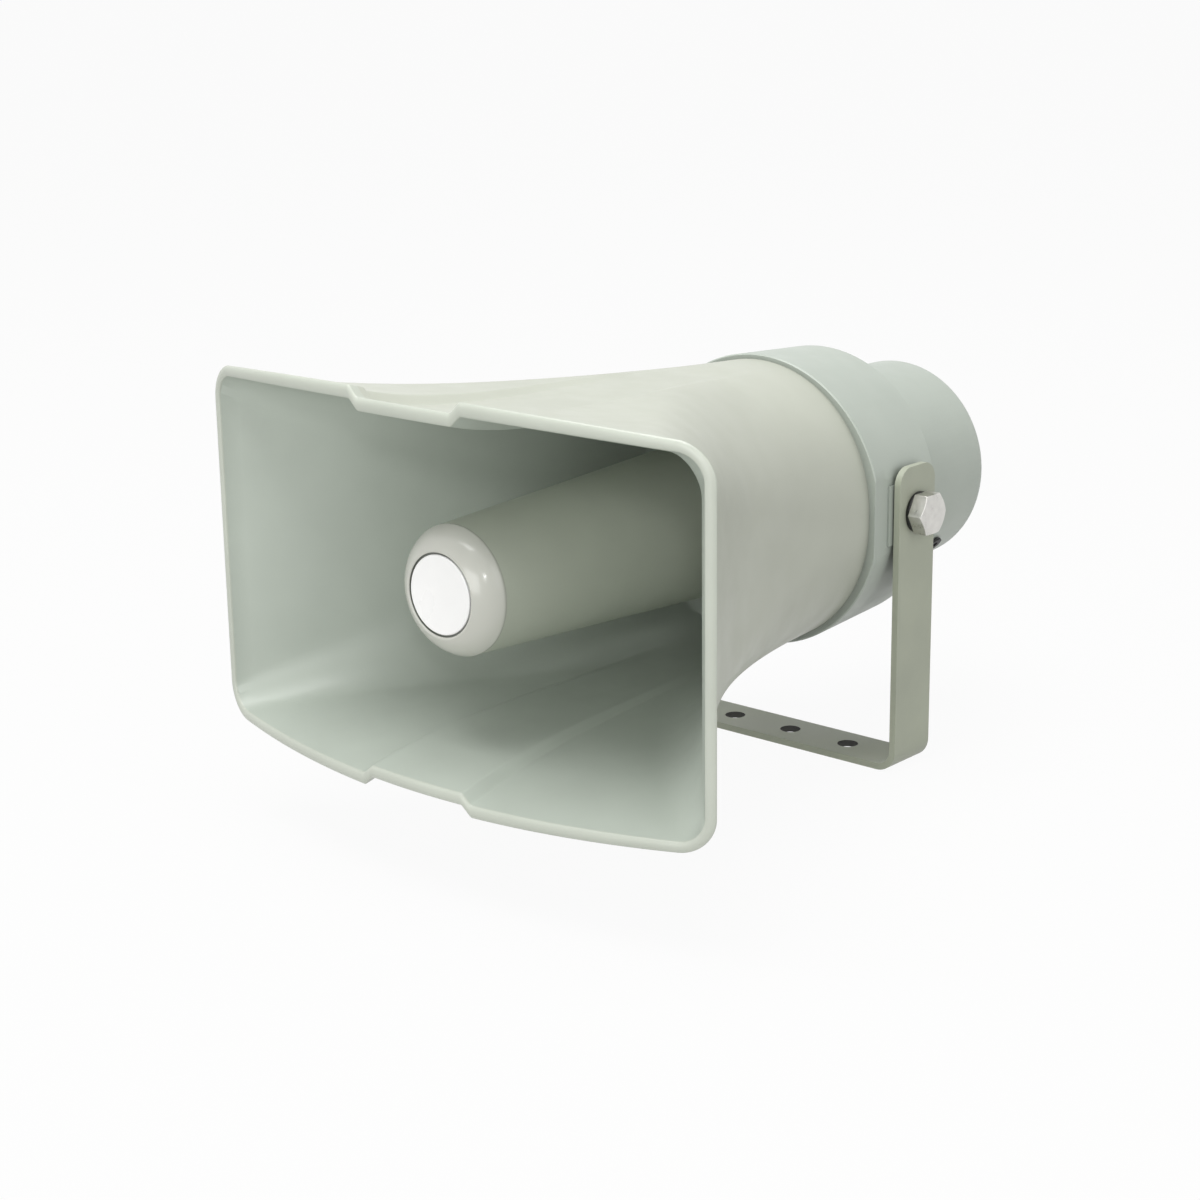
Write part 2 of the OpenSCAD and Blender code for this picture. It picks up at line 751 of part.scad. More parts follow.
bracket();
friction_washers();
pivot_bolts();
spring_washers();
bolt_inserts();
horn_flare();
flare_seal();
rear_housing();
reflector();
badge_disc();
throat_tube();
throat_gasket();
throat_screws();
driver_front_housing();
phase_plug();
diaphragm_surround();
diaphragm_dome();
voice_coil_former();
voice_coil_winding();
top_plate();
magnet();
yoke();
driver_screws();
rear_cover();
cover_gasket();
cover_screws();
cable_grommet();
terminal_block();
terminal_screws();
lead_wires();
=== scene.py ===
"""The looks of a re-entrant horn loudspeaker: smooth shells, finishes, a pale studio and the camera."""

import json
import math

import bmesh
import bpy
from mathutils import Matrix, Vector


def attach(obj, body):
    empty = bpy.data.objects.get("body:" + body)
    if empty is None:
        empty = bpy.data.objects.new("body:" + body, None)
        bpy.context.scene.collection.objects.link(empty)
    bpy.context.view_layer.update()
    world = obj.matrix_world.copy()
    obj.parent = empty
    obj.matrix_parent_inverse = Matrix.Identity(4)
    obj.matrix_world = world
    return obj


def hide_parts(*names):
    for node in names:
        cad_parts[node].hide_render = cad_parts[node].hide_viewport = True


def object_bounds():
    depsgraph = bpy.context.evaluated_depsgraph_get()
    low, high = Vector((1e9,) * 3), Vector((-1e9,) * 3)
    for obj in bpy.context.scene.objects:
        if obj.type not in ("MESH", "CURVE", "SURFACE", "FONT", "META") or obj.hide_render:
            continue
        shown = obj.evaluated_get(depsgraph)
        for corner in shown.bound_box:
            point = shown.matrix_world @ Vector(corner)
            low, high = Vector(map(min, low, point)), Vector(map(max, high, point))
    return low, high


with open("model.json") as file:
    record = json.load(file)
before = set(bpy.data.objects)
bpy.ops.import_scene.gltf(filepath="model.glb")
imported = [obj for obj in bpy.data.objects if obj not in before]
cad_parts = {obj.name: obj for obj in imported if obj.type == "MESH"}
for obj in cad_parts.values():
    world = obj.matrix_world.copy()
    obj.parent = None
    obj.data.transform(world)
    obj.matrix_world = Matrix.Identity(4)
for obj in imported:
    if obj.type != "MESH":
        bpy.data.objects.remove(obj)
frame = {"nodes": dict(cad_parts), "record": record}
cad_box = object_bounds()
nodes = frame["nodes"]

# Everything below is in metres, in the frame of the model: the mouth faces -Y and +Z is up.
MM = 0.001
AXIS_H = 88.2 * MM

# The bell, as its solid is drawn.
MOUTH_W = 199 * MM
MOUTH_H = 113 * MM
MOUTH_CORNER_R = 10 * MM
MOUTH_BOW = 15.7 * MM
MOUTH_ARCH = 3.3 * MM
BELL_L = 147 * MM
BELL_END_Y = -19.2 * MM
BELL_END_W = 45.1 * MM
BELL_END_H = 47.5 * MM
BELL_RISE = 1.05 * MM
BELL_WALL = 2.5 * MM
CHANNEL_DEPTH = 2.6 * MM
CHANNEL_HALF_W = 22.5 * MM
CHANNEL_REAR_W = 12 * MM
CHANNEL_SLOPE_W = 4.5 * MM
WIDTH_POWER = 2.65
HEIGHT_POWER = 7
CORNER_POWER = 1.33
BOW_POWER = 4.2
ARCH_POWER = 0.8
CHANNEL_POWER = 1.5
RIM_LIFT = 1.3 * MM
RIM_POWER = 12
ARCH_FADE_POWER = 4
LEAST_CORNER_R = 1 * MM
LIP_START = 0.973
LIP_EXTRA = 0.7 * MM
LIP_ROUND = 1.0 * MM
LIP_ROUND_W = 1.5 * MM
SPIGOT_R = 44 * MM
SPIGOT_WALL = 2 * MM
SPIGOT_REAR_Y = BELL_END_Y + 8 * MM
SPIGOT_BLEND = 4 * MM

# How finely the bell's skin is divided. Its inside begins some stations along, clear of the spigot.
SIDE_STEPS = 14
CORNER_STEPS = 26
TOP_STEPS = 26
SLOPE_STEPS = 14
FLOOR_STEPS = 16
STATIONS = 72
INSIDE_STATION = 4

# The reflector and the plain disc on its nose.
NOSE_Y = BELL_END_Y - BELL_L - 3.5 * MM
NOSE_R = 19.8 * MM
CAP_FACE_R = 13 * MM
CAP_EDGE_R = 1.5 * MM
CAP_START_DEG = -65
CAP_TURN_DEG = -24
CAP_END_DEG = 20
CAP_INNER_DEG = -50
REFLECTOR_REAR_R = 26.5 * MM
REFLECTOR_REAR_Y = BELL_END_Y - 9 * MM
REFLECTOR_WALL = 2.2 * MM
BADGE_R = 12 * MM

# The hub inside the reflector, which sits on the throat tube, and its three ribs.
HUB_FRONT_Y = REFLECTOR_REAR_Y - 52 * MM
HUB_REAR_Y = HUB_FRONT_Y + 22 * MM
HUB_R = 14.5 * MM
HUB_BORE_R = 12.05 * MM
RIB_T = 2.2 * MM
RIB_BACK = 2 * MM
RIB_ROOT = 1 * MM
RIB_ANGLES_DEG = (90, 210, 330)

# The foot's fixing holes.
FOOT_PITCH = 24.5 * MM
FOOT_HOLE_R = 3.5 * MM

# Colours, linear.
ABS_GREY = (0.45, 0.495, 0.438)
AGED_GREY = (0.47, 0.49, 0.42)
HOUSING_GREY = (0.42, 0.462, 0.412)
# The rim bead is coloured lighter than the bell: painted light along the mouth's edge.
RIM_LIT_GREY = (0.485, 0.515, 0.45)
BRACKET_PAINT = (0.38, 0.405, 0.32)

# Painted shade in corners: how far out of the corner it reaches, and the darkest share of the colour.
PAINTED_CORNER_SHADE = (5 * MM, 0.55)

# Edges that turn by more than this are sharp. The reflector is finely divided, so its limit is lower.
SHARP_DEG = 35
REFLECTOR_SHARP_DEG = 12


# Meshes

def smooth(mesh, sharp_deg):
    """Smooth shading, apart from edges that turn by more than an angle."""
    mesh.shade_smooth()
    mesh.set_sharp_from_angle(angle=math.radians(sharp_deg))


def new_object(name, mesh):
    """A new object for a mesh."""
    piece = bpy.data.objects.new(name, mesh)
    bpy.context.scene.collection.objects.link(piece)
    return piece


def outward_mesh(name, points, faces):
    """A closed mesh whose faces all look outwards."""
    mesh = bpy.data.meshes.new(name)
    mesh.from_pydata(points, [], faces)
    solid = bmesh.new()
    solid.from_mesh(mesh)
    bmesh.ops.recalc_face_normals(solid, faces=solid.faces)
    solid.to_mesh(mesh)
    solid.free()
    return mesh


def mesh_from_rings(name, rings):
    """A closed skin over rings of equal counts, the last joined to the first. One point alone is a pole."""
    points = []
    starts = []
    for ring in rings:
        starts.append(len(points))
        points.extend(ring)
    faces = []
    count = len(rings)
    n = max(len(r) for r in rings)
    for a in range(count):
        b = (a + 1) % count
        pole_a = len(rings[a]) == 1
        pole_b = len(rings[b]) == 1
        if pole_a and pole_b:
            continue
        for i in range(n):
            j = (i + 1) % n
            if pole_a:
                faces.append((starts[a], starts[b] + j, starts[b] + i))
            elif pole_b:
                faces.append((starts[a] + i, starts[a] + j, starts[b]))
            else:
                faces.append((starts[a] + i, starts[a] + j, starts[b] + j, starts[b] + i))
    return outward_mesh(name, points, faces)


def turned(name, profile):
    """A closed body turned about the horn's axis from points (radius, y)."""
    segments = 192
    angles = [2 * math.pi * i / segments for i in range(segments)]
    rings = []
    for r, y in profile:
        if r == 0:
            rings.append([(0, y, AXIS_H)])
            continue
        rings.append([(r * math.cos(a), y, AXIS_H + r * math.sin(a)) for a in angles])
    return mesh_from_rings(name, rings)


def arc(cx, cy, r, start_deg, end_deg, steps):
    """Points of a round arc about (cx, cy)."""
    turns = [math.radians(start_deg + (end_deg - start_deg) * i / steps) for i in range(steps + 1)]
    return [(cx + r * math.cos(a), cy + r * math.sin(a)) for a in turns]


def softened(node, width):
    """A copy of a solid with its sharp edges rounded over, which stands for that node."""
    same_point = 2e-6
    flat_deg = 0.4
    round_steps = 3
    mesh = nodes[node].data.copy()
    solid = bmesh.new()
    solid.from_mesh(mesh)
    bmesh.ops.remove_doubles(solid, verts=solid.verts, dist=same_point)
    bmesh.ops.dissolve_limit(
        solid, angle_limit=math.radians(flat_deg), verts=solid.verts, edges=solid.edges)
    edges = [e for e in solid.edges
             if len(e.link_faces) == 2 and e.calc_face_angle(0) > math.radians(SHARP_DEG)]
    bmesh.ops.bevel(
        solid, geom=edges, offset=width, offset_type="OFFSET", segments=round_steps, profile=0.5,
        affect="EDGES", clamp_overlap=True)
    bmesh.ops.recalc_face_normals(solid, faces=solid.faces)
    solid.to_mesh(mesh)
    solid.free()
    mesh.materials.clear()
    smooth(mesh, SHARP_DEG)
    piece = new_object(node + "_finished", mesh)
    even = piece.modifiers.new("even_shading", "WEIGHTED_NORMAL")
    even.keep_sharp = True
    stand_for(piece, node)
    return piece


def stand_for(piece, node):
    """The piece rides on the node's body and replaces it."""
    for body, members in frame["record"]["behaviour"]["bodies"].items():
        if node in members:
            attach(piece, body)
    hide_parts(node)


# Materials

def new_material(name):
    """An empty node material, its principled shader and its coordinates in metres."""
    material = bpy.data.materials.new(name)
    material.use_nodes = True
    tree = material.node_tree
    shader = tree.nodes["Principled BSDF"]
    place = tree.nodes.new("ShaderNodeTexCoord").outputs["Object"]
    return material, tree, shader, place


def noise(tree, place, size, detail=2.0):
    """A noise whose grains are about size metres across."""
    node = tree.nodes.new("ShaderNodeTexNoise")
    node.inputs["Scale"].default_value = 1 / size
    node.inputs["Detail"].default_value = detail
    tree.links.new(place, node.inputs["Vector"])
    return node.outputs["Fac"]


def ramp(tree, value, stops):
    """A colour ramp over value, with stops (place, colour)."""
    node = tree.nodes.new("ShaderNodeValToRGB")
    elements = node.color_ramp.elements
    while len(elements) < len(stops):
        elements.new(0.5)
    for element, (at, colour) in zip(elements, stops):
        element.position = at
        element.color = (*colour, 1)
    tree.links.new(value, node.inputs["Fac"])
    return node.outputs["Color"]


def spread(tree, value, low, high):
    """A number from low to high as value goes from a quarter to three quarters."""
    node = tree.nodes.new("ShaderNodeMapRange")
    node.inputs["From Min"].default_value = 0.25
    node.inputs["From Max"].default_value = 0.75
    node.inputs["To Min"].default_value = low
    node.inputs["To Max"].default_value = high
    tree.links.new(value, node.inputs["Value"])
    return node.outputs["Result"]


def bump(tree, shader, layers):
    """Bumps in a chain. A layer is (height, depth in metres, strength)."""
    last = None
    for height, depth, strength in layers:
        node = tree.nodes.new("ShaderNodeBump")
        node.inputs["Distance"].default_value = depth
        node.inputs["Strength"].default_value = strength
        tree.links.new(height, node.inputs["Height"])
        if last:
            tree.links.new(last, node.inputs["Normal"])
        last = node.outputs["Normal"]
    tree.links.new(last, shader.inputs["Normal"])


def scaled(colour, k):
    """A colour made lighter or darker."""
    return tuple(c * k for c in colour)


def with_painted_corner_shade(tree, colour, reach, darkest):
    """Darkens a colour in grooves and corners within reach metres: painted shade, where less light gets in.
    """
    corners = tree.nodes.new("ShaderNodeAmbientOcclusion")
    corners.samples = 8
    corners.inputs["Distance"].default_value = reach
    shade = ramp(tree, corners.outputs["AO"], [(0.25, (darkest,) * 3), (0.85, (1, 1, 1))])
    mix = tree.nodes.new("ShaderNodeMix")
    mix.data_type = "RGBA"
    mix.blend_type = "MULTIPLY"
    mix.inputs[0].default_value = 1
    tree.links.new(colour, mix.inputs[6])
    tree.links.new(shade, mix.inputs[7])
    return mix.outputs[2]


def moulded_plastic(name, colour, rough=(0.36, 0.5), grain=0.9 * MM, depth=0.03 * MM, corner_shade=None):
    """Grey moulded plastic: a fine pebbled skin, faint flow marks and, when given, painted shade in its
    corners.
    """
    material, tree, shader, place = new_material(name)
    flow = noise(tree, place, 40 * MM, 3)
    pebble = noise(tree, place, grain, 2)
    skin = ramp(tree, flow, [(0.3, scaled(colour, 0.95)), (0.7, scaled(colour, 1.04))])
    if corner_shade:
        skin = with_painted_corner_shade(tree, skin, *corner_shade)
    tree.links.new(skin, shader.inputs["Base Color"])
    tree.links.new(spread(tree, noise(tree, place, 9 * MM, 3), *rough), shader.inputs["Roughness"])
    bump(tree, shader, [(flow, 0.3 * MM, 0.15), (pebble, depth, 0.55)])
    shader.inputs["IOR"].default_value = 1.5
    return material


def painted_steel(name, colour):
    """Powder coat on steel strip: orange peel and soft patches."""
    material, tree, shader, place = new_material(name)
    peel = noise(tree, place, 1.4 * MM, 2)
    patches = noise(tree, place, 22 * MM, 3)
    colours = [(0.3, scaled(colour, 0.92)), (0.7, scaled(colour, 1.05))]
    tree.links.new(ramp(tree, patches, colours), shader.inputs["Base Color"])
    tree.links.new(spread(tree, patches, 0.38, 0.52), shader.inputs["Roughness"])
    bump(tree, shader, [(peel, 0.04 * MM, 0.5)])
    return material


def bare_metal(name, colour, rough=(0.2, 0.36)):
    """Plated metal: soft patches and a fine grain."""
    material, tree, shader, place = new_material(name)
    patches = noise(tree, place, 3 * MM, 3)
    fine = noise(tree, place, 0.35 * MM, 2)
    colours = [(0.3, scaled(colour, 0.9)), (0.7, scaled(colour, 1.06))]
    tree.links.new(ramp(tree, patches, colours), shader.inputs["Base Color"])
    tree.links.new(spread(tree, patches, *rough), shader.inputs["Roughness"])
    shader.inputs["Metallic"].default_value = 1
    bump(tree, shader, [(fine, 0.01 * MM, 0.4)])
    return material


def soft_black(name):
    """Black rubber with a dusty bloom."""
    colour = (0.022, 0.022, 0.022)
    material, tree, shader, place = new_material(name)
    bloom = noise(tree, place, 2.5 * MM, 4)
    colours = [(0.35, colour), (0.75, scaled(colour, 1.9))]
    tree.links.new(ramp(tree, bloom, colours), shader.inputs["Base Color"])
    tree.links.new(spread(tree, bloom, 0.55, 0.75), shader.inputs["Roughness"])
    bump(tree, shader, [(noise(tree, place, 0.5 * MM), 0.02 * MM, 0.5)])
    return material


def dress(piece, material):
    """Gives a piece or a carried-over solid one material all over."""
    piece.data.materials.clear()
    piece.data.materials.append(material)


# The bell

def half_w(t):
    """Half the bell's width at t, which goes from 0 at its rear end to 1 at the mouth."""
    return BELL_END_W + (MOUTH_W / 2 - LIP_EXTRA - BELL_END_W) * t ** WIDTH_POWER


def half_h(t):
    """Half the bell's height at t."""
    even = BELL_END_H + BELL_RISE * t
    return even + (MOUTH_H / 2 - LIP_EXTRA - BELL_END_H - BELL_RISE) * t ** HEIGHT_POWER


def corner_r(t):
    """The radius of the section's corners at t."""
    free = BELL_END_W + (MOUTH_CORNER_R - BELL_END_W) * t ** CORNER_POWER
    return min(half_w(t), half_h(t), free)


def channel_w(t):
    """Half the width of the channel at t."""
    return CHANNEL_REAR_W + (CHANNEL_HALF_W - CHANNEL_REAR_W) * t


def stretches(s):
    """Lengths of the side, corner and top of a quarter of section s, up to the channel."""
    a, b, r, w = s
    angle = math.pi / 2 if a - r >= w else math.acos((w - (a - r)) / r)
    return b - r, r * angle, max(0.0, a - r - w)


def quarter_point(s, d):
    """The point at length d along a quarter's outline."""
    a, b, r = s[:3]
    side, corner = stretches(s)[:2]
    if d <= side:
        return a, d
    if d <= side + corner:
        turn = (d - side) / r
        return a - r + r * math.cos(turn), b - r + r * math.sin(turn)
    return a - r - (d - side - corner), b


def top_z(s, x):
    """Height of the section's top at x."""
    a, b, r = s[:3]
    over = abs(x) - (a - r)
    return b if over <= 0 else b - r + math.sqrt(r * r - over * over)


def section(t, inset):
    """Half width, half height, corner radius and half channel at t, moved inwards by inset."""
    r = max(corner_r(t) - inset, LEAST_CORNER_R)
    return half_w(t) - inset, half_h(t) - inset, r, channel_w(t)


def eased(x):
    """A ramp from 0 to 1 with its two corners rounded."""
    ease = 0.22
    if x <= 0:
        return 0.0
    if x >= 1:
        return 1.0
    if x < ease:
        return x * x / (2 * ease * (1 - ease))
    if x > 1 - ease:
        return 1 - (1 - x) ** 2 / (2 * ease * (1 - ease))
    return (x - ease / 2) / (1 - ease)


# Where the points of a quarter lie along it, as shares of its length, spaced evenly at the mouth.
mouth_side, mouth_corner, mouth_top = stretches(section(1, 0))
mouth_l = mouth_side + mouth_corner + mouth_top
shares = [mouth_side / mouth_l * i / SIDE_STEPS for i in range(SIDE_STEPS)]
shares += [(mouth_side + mouth_corner * i / CORNER_STEPS) / mouth_l for i in range(CORNER_STEPS)]
shares += [(mouth_side + mouth_corner + mouth_top * i / TOP_STEPS) / mouth_l for i in range(TOP_STEPS)]


def half_outline(s, depth):
    """The upper half of a section from its right side to its left, with the channel across its top."""
    length = sum(stretches(s))
    quarter = [quarter_point(s, q * length) for q in shares]
    w = s[3]
    inner = w - CHANNEL_SLOPE_W
    across = [w - CHANNEL_SLOPE_W * i / SLOPE_STEPS for i in range(SLOPE_STEPS)]
    across += [inner - 2 * inner * i / FLOOR_STEPS for i in range(FLOOR_STEPS + 1)]
    across += [-x for x in reversed(across[:SLOPE_STEPS])]
    channel = [(x, top_z(s, x) - depth * eased((w - abs(x)) / CHANNEL_SLOPE_W)) for x in across]
    return quarter + channel + [(-x, z) for x, z in reversed(quarter[1:])]


def whole_outline(half):
    """The outline that an upper half and its half turn make."""
    return half + [(-x, -z) for x, z in half]


def bell_ring(t, inset, ahead=0.0):
    """One ring of the bell's skin at t, moved inwards by inset and forwards by ahead."""
    ring = []
    for x, z in whole_outline(half_outline(section(t, inset), CHANNEL_DEPTH * t ** CHANNEL_POWER)):
        across = 1 - (x / half_w(t)) ** 2
        arch = MOUTH_ARCH * t ** ARCH_POWER
        if z > 0:
            arch += RIM_LIFT * t ** RIM_POWER
        lift = arch * across * (abs(z) / half_h(t)) ** ARCH_FADE_POWER
        y = BELL_END_Y - BELL_L * t - MOUTH_BOW * t ** BOW_POWER * across - ahead
        ring.append((x, y, AXIS_H + z + math.copysign(lift, z)))
    return ring


def round_ring(r, y):
    """A round ring of the spigot, with as many points as the bell's rings."""
    outline = whole_outline(half_outline((r, r, r, CHANNEL_REAR_W), 0))
    return [(x, y, AXIS_H + z) for x, z in outline]


def make_bell(inside_finish, outside_finish, lit_rim_finish):
    """The bell's shell: outside, rim bead, inside and the spigot behind."""
    stations = [LIP_START * i / STATIONS for i in range(STATIONS + 1)]
    rings = [round_ring(SPIGOT_R, SPIGOT_REAR_Y), round_ring(SPIGOT_R, BELL_END_Y)]
    rings += [bell_ring(t, 0) for t in stations]
    lip_step_t = 0.4 * MM / BELL_L
    lip_steps = 4
    for k in range(1, lip_steps + 1):
        turn = math.radians(90 * k / lip_steps)
        rings.append(bell_ring(LIP_START + lip_step_t * (1 - math.cos(turn)), -LIP_EXTRA * math.sin(turn)))
    rim_first = len(rings)
    rings.append(bell_ring((LIP_START + 1) / 2, -LIP_EXTRA))
    round_steps = 6
    turns = [math.radians(90 * k / round_steps) for k in range(round_steps + 1)]
    for turn in turns:
        back = LIP_ROUND_W * (1 - math.cos(turn))
        rings.append(bell_ring(1, back - LIP_EXTRA, LIP_ROUND * math.sin(turn)))
    for turn in reversed(turns):
        back = LIP_ROUND_W * (1 - math.cos(turn))
        rings.append(bell_ring(1, BELL_WALL - back, LIP_ROUND * math.sin(turn)))
    rim_last = len(rings) - 1
    rings += [bell_ring(t, BELL_WALL) for t in reversed(stations[INSIDE_STATION:])]
    rings.append(round_ring(SPIGOT_R - SPIGOT_WALL, BELL_END_Y - SPIGOT_BLEND))
    rings.append(round_ring(SPIGOT_R - SPIGOT_WALL, SPIGOT_REAR_Y))
    mesh = mesh_from_rings("bell_shell", rings)
    smooth(mesh, SHARP_DEG)
    piece = new_object("bell_shell", mesh)
    stand_for(piece, "horn_flare")
    dress(piece, inside_finish)
    piece.data.materials.append(outside_finish)
    piece.data.materials.append(lit_rim_finish)
    # The rim bead's faces take the lighter rim colour, painted light along the mouth's edge.
    for number, face in enumerate(piece.data.polygons):
        ring = number // len(rings[0])
        if ring < rim_first:
            face.material_index = 1
        elif ring < rim_last:
            face.material_index = 2


# The reflector

def rib(outer_r, angle_deg):
    """A flat rib from the hub to a radius, at an angle round the axis."""
    inner_r = HUB_R - RIB_ROOT
    turn = math.radians(angle_deg)
    points = []
    for y in (HUB_FRONT_Y + RIB_BACK, HUB_REAR_Y - RIB_BACK):
        for r, side in ((inner_r, -1), (outer_r, -1), (outer_r, 1), (inner_r, 1)):
            off = side * RIB_T / 2
            points.append((
                r * math.cos(turn) - off * math.sin(turn), y,
                AXIS_H + r * math.sin(turn) + off * math.cos(turn)))
    faces = [(0, 1, 2, 3), (7, 6, 5, 4), (0, 4, 5, 1), (1, 5, 6, 2), (2, 6, 7, 3), (3, 7, 4, 0)]
    return outward_mesh("rib", points, faces)


def join_hub(piece, rib_r):
    """Joins the hub and its ribs to the reflector's shell."""
    hub = turned("hub", [
        (HUB_BORE_R, HUB_FRONT_Y), (HUB_R, HUB_FRONT_Y), (HUB_R, HUB_REAR_Y), (HUB_BORE_R, HUB_REAR_Y)])
    for mesh in [hub] + [rib(rib_r, angle_deg) for angle_deg in RIB_ANGLES_DEG]:
        tool = new_object("joined", mesh)
        union = piece.modifiers.new("join", "BOOLEAN")
        union.operation = "UNION"
        union.solver = "EXACT"
        union.object = tool
        bpy.context.view_layer.update()
        whole = piece.evaluated_get(bpy.context.evaluated_depsgraph_get())
        joined = bpy.data.meshes.new_from_object(whole)
        piece.modifiers.clear()
        piece.data = joined
        bpy.data.objects.remove(tool)


def make_reflector(cone_finish, lit_cap_finish, seat_shade_finish):
    """The bullet in the mouth: a thin cone behind a rounded cap with a shallow seat for the disc."""
    seat_r = BADGE_R + 0.6 * MM
    seat_d = 1 * MM
    seat_edge = 0.35 * MM
    seat_steps = 6
    face_steps = 30
    edge_steps = 12
    cone_steps = 24
    inward = CAP_FACE_R - CAP_EDGE_R
    turn = math.radians(CAP_TURN_DEG)
    edge_c = NOSE_R - CAP_EDGE_R
    face_c = edge_c - inward * math.cos(turn)
    face_y = NOSE_Y - CAP_FACE_R * math.sin(math.radians(CAP_START_DEG))
    edge_y = face_y + inward * math.sin(turn)
    profile = [(0, NOSE_Y + seat_d), (seat_r, NOSE_Y + seat_d)]
    profile += arc(seat_r + seat_edge, NOSE_Y + seat_edge, seat_edge, 180, 270, seat_steps)
    profile += arc(face_c, face_y, CAP_FACE_R, CAP_START_DEG, CAP_TURN_DEG, face_steps)
    profile += arc(edge_c, edge_y, CAP_EDGE_R, CAP_TURN_DEG, CAP_END_DEG, edge_steps)[1:]
    start_r, start_y = profile[-1]
    for k in range(1, cone_steps + 1):
        at = k / cone_steps
        profile.append((
            start_r + (REFLECTOR_REAR_R - start_r) * at,
            start_y + (REFLECTOR_REAR_Y - start_y) * at))
    profile.append((REFLECTOR_REAR_R - REFLECTOR_WALL, REFLECTOR_REAR_Y))
    profile += arc(face_c, face_y, CAP_FACE_R - REFLECTOR_WALL, CAP_TURN_DEG, CAP_INNER_DEG, edge_steps)
    profile.append((0, NOSE_Y + 1.5 * REFLECTOR_WALL))
    piece = new_object("reflector_shell", turned("reflector_shell", profile))
    rib_share = (HUB_FRONT_Y - start_y) / (REFLECTOR_REAR_Y - start_y)
    join_hub(piece, start_r + (REFLECTOR_REAR_R - start_r) * rib_share - REFLECTOR_WALL / 4)
    smooth(piece.data, REFLECTOR_SHARP_DEG)
    stand_for(piece, "reflector")
    dress(piece, cone_finish)
    piece.data.materials.append(lit_cap_finish)
    piece.data.materials.append(seat_shade_finish)
    cap_inner_r = seat_r - 0.1 * MM
    seat_from = NOSE_Y + 0.5 * seat_d
    seat_to = NOSE_Y + 1.1 * seat_d
    for face in piece.data.polygons:
        y = face.center.y
        r = math.hypot(face.center.x, face.center.z - AXIS_H)
        # The cap's faces take a lighter colour than the cone: painted light on the front of the nose.
        if y < start_y and r > cap_inner_r:
            face.material_index = 1
        # The seat's floor round the disc takes a dark grey: painted shade in the groove round the disc.
        if seat_from < y < seat_to and r < seat_r:
            face.material_index = 2


# Making the object

# The bell's inside and outside and the rear housing carry painted shade in their corners and grooves.
grey_plastic = moulded_plastic("grey_plastic", ABS_GREY, corner_shade=PAINTED_CORNER_SHADE)
aged_plastic = moulded_plastic("aged_plastic", AGED_GREY, corner_shade=PAINTED_CORNER_SHADE)
housing_plastic = moulded_plastic("housing_plastic", HOUSING_GREY, corner_shade=PAINTED_CORNER_SHADE)
# Painted light: the rim bead is coloured lighter than the bell it is moulded with.
lit_rim_plastic = moulded_plastic("lit_rim_plastic", RIM_LIT_GREY, (0.28, 0.4))
# Painted light: the cap is coloured lighter and warmer than the cone it is moulded with, as if lit from the
# front.
lit_cap_plastic = moulded_plastic("lit_cap_plastic", (0.52, 0.525, 0.475), (0.15, 0.2), 0.5 * MM, 0.008 * MM)
cone_plastic = moulded_plastic("cone_plastic", (0.49, 0.52, 0.44))
# Painted shade: the dark grey of the seat round the disc stands in for the groove's shadow.
seat_shade_grey = moulded_plastic("seat_shade_grey", (0.16, 0.17, 0.15))
# Painted shade: a near-black paint for the walls of the foot's holes, which lie in shadow.
hole_shadow_paint = painted_steel("hole_shadow_paint", (0.05, 0.05, 0.045))
strip_paint = painted_steel("strip_paint", BRACKET_PAINT)
zinc = bare_metal("zinc", (0.64, 0.63, 0.60), (0.24, 0.4))
black_steel = bare_metal("black_steel", (0.05, 0.05, 0.05), (0.35, 0.5))
rubber = soft_black("rubber")
white_plastic = moulded_plastic("white_plastic", (0.86, 0.86, 0.85), (0.25, 0.35), 2.5 * MM, 0.01 * MM)
brass = bare_metal("brass", (0.62, 0.45, 0.17))
plate_steel = bare_metal("plate_steel", (0.45, 0.45, 0.46), (0.3, 0.45))
ferrite = moulded_plastic("ferrite", (0.06, 0.06, 0.065), (0.5, 0.65))
aluminium = bare_metal("aluminium", (0.6, 0.6, 0.61), (0.35, 0.5))
phenolic = moulded_plastic("phenolic", (0.28, 0.20, 0.12), (0.5, 0.6))
copper = bare_metal("copper", (0.55, 0.25, 0.12))
ivory = moulded_plastic("ivory", (0.72, 0.70, 0.62))
red_sleeve = moulded_plastic("red_sleeve", (0.45, 0.04, 0.05))

SLOT_MATERIALS = {
    "abs_grey": grey_plastic,
    "bracket_paint": strip_paint,
    "zinc_steel": zinc,
    "dark_steel": black_steel,
    "badge_white": white_plastic,
    "black_rubber": rubber,
    "brass_insert": brass,
    "steel_plate": plate_steel,
    "ferrite": ferrite,
    "cast_aluminium": aluminium,
    "phenolic": phenolic,
    "copper_wire": copper,
    "terminal_plastic": ivory,
    "wire_sleeve": red_sleeve,
}
for row in frame["record"]["subparts"]:
    dress(nodes[row["node"]], SLOT_MATERIALS[row["material_slot"]])

make_bell(grey_plastic, aged_plastic, lit_rim_plastic)
make_reflector(cone_plastic, lit_cap_plastic, seat_shade_grey)
dress(softened("rear_housing", 0.25 * MM), housing_plastic)
dress(softened("rear_cover", 0.5 * MM), housing_plastic)
strip = softened("bracket", 0.45 * MM)
dress(strip, strip_paint)
strip.data.materials.append(hole_shadow_paint)
# The walls of the foot's holes take the near-black paint: painted shade inside the holes.
hole_reach = FOOT_HOLE_R + 0.2 * MM
foot_top = 10 * MM
for face in strip.data.polygons:
    corners = [strip.data.vertices[i].co for i in face.vertices]
    for k in (-1, 0, 1):
        from_hole = max(math.hypot(c.x - k * FOOT_PITCH, c.y) for c in corners)
        if from_hole < hole_reach and face.center.z < foot_top:
            face.material_index = 1
dress(softened("pivot_bolts", 0.3 * MM), zinc)
dress(softened("spring_washers", 0.3 * MM), black_steel)
dress(softened("badge_disc", 0.15 * MM), white_plastic)


# The studio

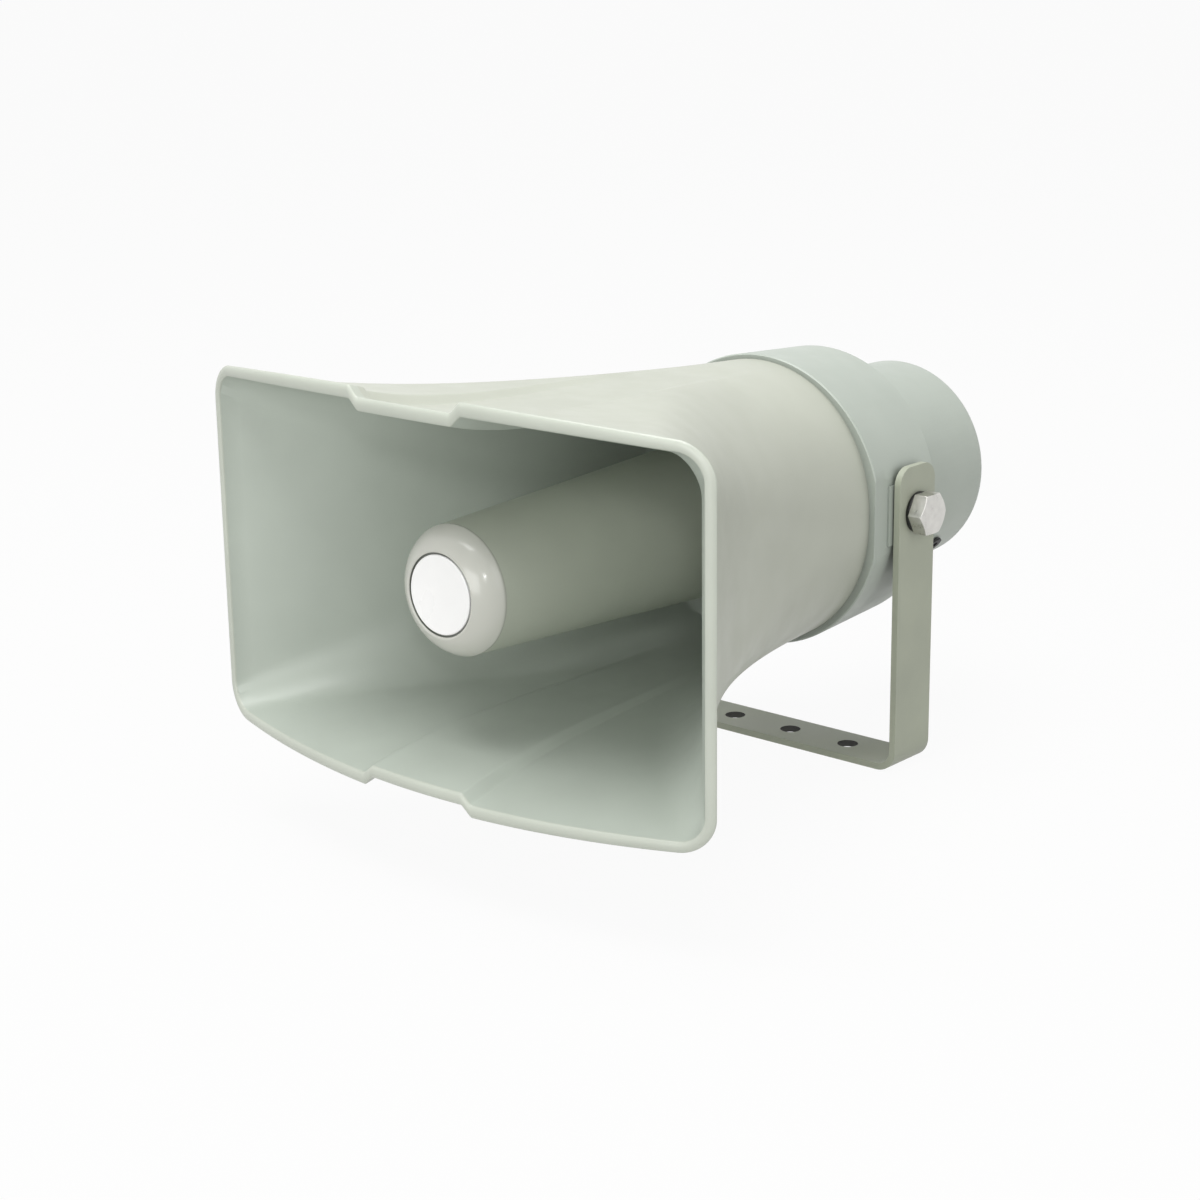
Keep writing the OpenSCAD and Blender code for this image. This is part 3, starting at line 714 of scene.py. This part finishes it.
def white_to_the_eye(tree, lit_shader, share):
    """Mixes white into what the camera and reflections see, and leaves the light alone."""
    path = tree.nodes.new("ShaderNodeLightPath")
    seen = None
    for ray in ("Is Camera Ray", "Is Glossy Ray", "Is Transmission Ray"):
        if seen is None:
            seen = path.outputs[ray]
            continue
        both = tree.nodes.new("ShaderNodeMath")
        both.operation = "MAXIMUM"
        tree.links.new(seen, both.inputs[0])
        tree.links.new(path.outputs[ray], both.inputs[1])
        seen = both.outputs[0]
    part = tree.nodes.new("ShaderNodeMath")
    part.operation = "MULTIPLY"
    part.inputs[1].default_value = share
    tree.links.new(seen, part.inputs[0])
    in_world = "World Output" in tree.nodes
    white = tree.nodes.new("ShaderNodeBackground" if in_world else "ShaderNodeEmission")
    white.inputs["Color"].default_value = (1, 1, 1, 1)
    white.inputs["Strength"].default_value = 1
    mix = tree.nodes.new("ShaderNodeMixShader")
    tree.links.new(part.outputs[0], mix.inputs[0])
    tree.links.new(lit_shader.outputs[0], mix.inputs[1])
    tree.links.new(white.outputs[0], mix.inputs[2])
    return mix.outputs[0]


def make_floor():
    """A wide pale floor just under the object."""
    size = 14.0
    z = cad_box[0][2] - 0.05 * MM
    white_share = 0.94
    mesh = bpy.data.meshes.new("floor")
    corners = [(-size, -size), (size, -size), (size, size), (-size, size)]
    mesh.from_pydata([(x, y, z) for x, y in corners], [], [(0, 1, 2, 3)])
    floor = new_object("floor", mesh)
    material = bpy.data.materials.new("floor_white")
    material.use_nodes = True
    tree = material.node_tree
    shader = tree.nodes["Principled BSDF"]
    shader.inputs["Base Color"].default_value = (0.55, 0.55, 0.54, 1)
    shader.inputs["Roughness"].default_value = 0.9
    seen = white_to_the_eye(tree, shader, white_share)
    tree.links.new(seen, tree.nodes["Material Output"].inputs["Surface"])
    mesh.materials.append(material)


def make_world(strength):
    """Even light from all round."""
    world = bpy.data.worlds.new("studio")
    bpy.context.scene.world = world
    world.use_nodes = True
    tree = world.node_tree
    sky = tree.nodes["Background"]
    sky.inputs["Color"].default_value = (1, 1, 1, 1)
    sky.inputs["Strength"].default_value = strength
    tree.links.new(white_to_the_eye(tree, sky, 1.0), tree.nodes["World Output"].inputs["Surface"])


def softbox(name, at, towards, size, power):
    """A square area lamp at one point that faces another."""
    lamp = bpy.data.lights.new(name, "AREA")
    lamp.size = size
    lamp.energy = power
    holder = bpy.data.objects.new(name, lamp)
    way = Vector(towards) - Vector(at)
    holder.matrix_world = Matrix.Translation(at) @ way.to_track_quat("-Z", "Y").to_matrix().to_4x4()
    bpy.context.scene.collection.objects.link(holder)


def make_camera():
    """The photograph's camera: its place, direction and lens were fitted to the object's edges."""
    azimuth = math.radians(41.485)
    elevation = math.radians(15.826)
    roll = math.radians(-0.797)
    data = bpy.data.cameras.new("camera")
    data.sensor_width = 36
    data.lens = 71.335
    camera = bpy.data.objects.new("camera", data)
    look = Matrix.Rotation(azimuth, 4, "Z") @ Matrix.Rotation(math.pi / 2 - elevation, 4, "X")
    place = Matrix.Translation((472.74 * MM, -634.27 * MM, 273.56 * MM))
    camera.matrix_world = place @ look @ Matrix.Rotation(roll, 4, "Z")
    bpy.context.scene.collection.objects.link(camera)
    bpy.context.scene.camera = camera


make_floor()
make_world(0.45)
softbox("key", (-0.1, -0.35, 1.4), (0, -0.05, 0.1), 0.9, 16.5)
softbox("front", (0.3, -1.5, 0.25), (0, -0.1, 0.09), 0.8, 7.8)
softbox("spark", (0.78, -0.95, 0.55), (0, -0.16, 0.09), 0.1, 1.3)
softbox("side", (1.2, -0.2, 0.6), (0, -0.05, 0.1), 0.8, 2.6)
make_camera()
bpy.context.scene.view_settings.view_transform = "Standard"
